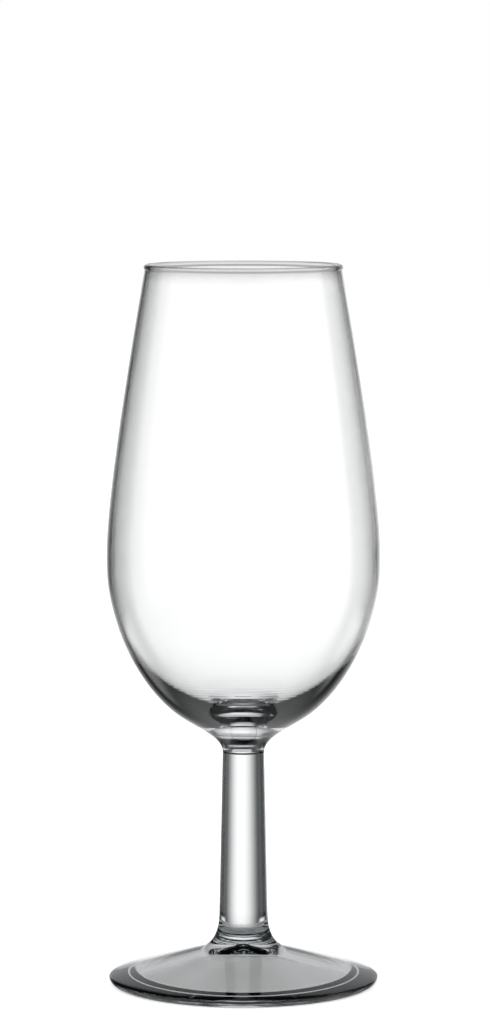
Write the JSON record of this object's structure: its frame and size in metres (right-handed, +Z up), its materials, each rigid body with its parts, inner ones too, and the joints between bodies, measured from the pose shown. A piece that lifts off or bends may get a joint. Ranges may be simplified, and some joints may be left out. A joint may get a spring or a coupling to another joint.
{
  "type": "sherry glass",
  "caption": "Clear stemmed sherry glass: a tall tulip bowl narrowing to a beaded rim, on a short drawn stem and a round shallow-coned foot.",
  "frame": {"origin": "middle of the rest face under the foot, on the glass's axis", "axes": "+Z up the axis from the foot to the rim; the glass is the same all round, so +X and -Y (towards the picture's viewer) are free choices"},
  "size_m": [0.054, 0.054, 0.1427],
  "materials": {
    "clear_glass": "fire-polished clear soda-lime glass"
  },
  "bodies": {
    "root": {"bowl": "clear_glass", "stem": "clear_glass", "foot": "clear_glass"}
  },
  "joints": []
}
